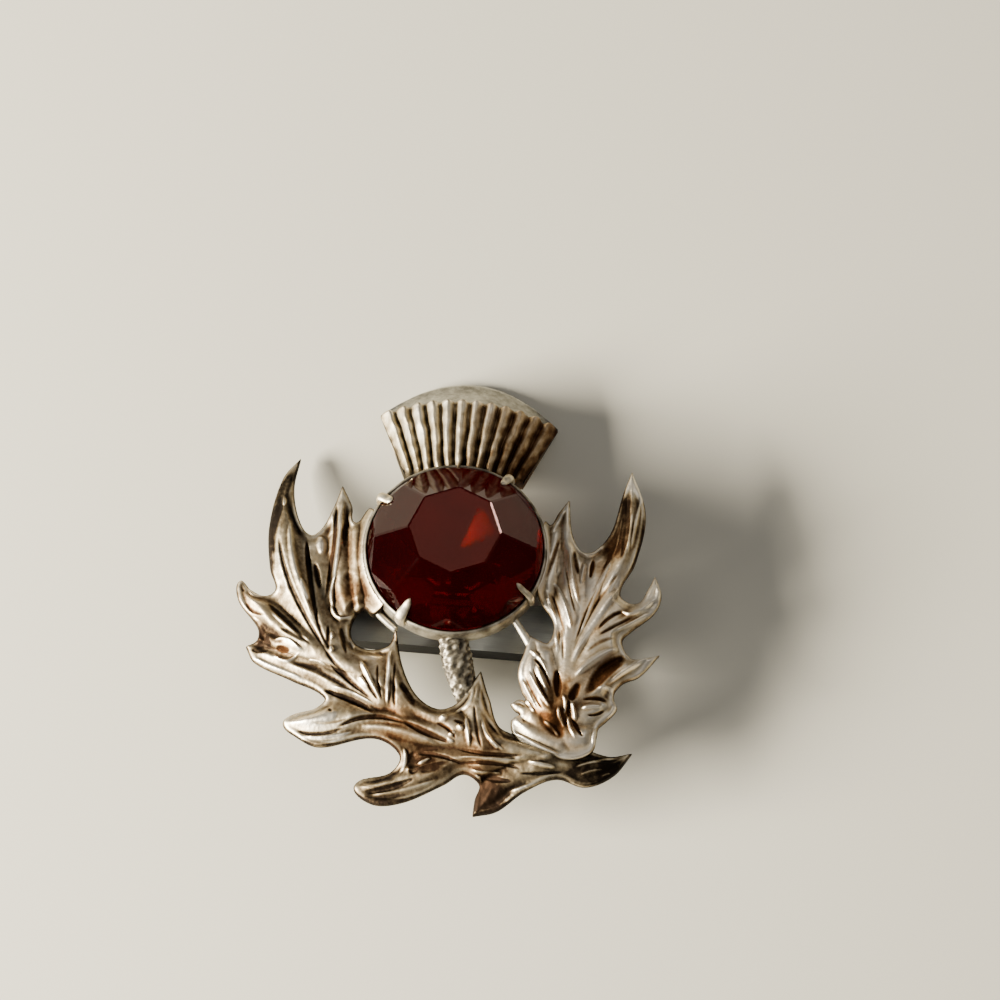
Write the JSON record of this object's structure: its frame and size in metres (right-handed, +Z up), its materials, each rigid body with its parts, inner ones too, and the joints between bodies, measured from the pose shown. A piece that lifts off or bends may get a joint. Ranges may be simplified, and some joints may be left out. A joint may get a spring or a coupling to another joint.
{
  "type": "thistle brooch",
  "caption": "Silver-coloured thistle brooch: a round faceted dark-red glass stone in a clawed collet, a ribbed flower above it and leaves curling round it, with a pin bar behind.",
  "frame": {"origin": "on the surface that the brooch rests on, under the middle of its outline", "axes": "+X to the wearer's left when seen from the front, +Y from the lowest leaf to the flower, +Z up, out of the face"},
  "size_m": [0.0438, 0.0466, 0.013],
  "materials": {
    "tarnished_silver": "satin cast silver, browned in its recesses",
    "garnet_glass": "polished",
    "grey_steel": "dull plated steel",
    "bright_steel": "polished"
  },
  "bodies": {
    "root": {"thistle_casting": "tarnished_silver", "stone": "garnet_glass", "back_bar": "grey_steel", "pin_needle": "bright_steel"}
  },
  "joints": []
}
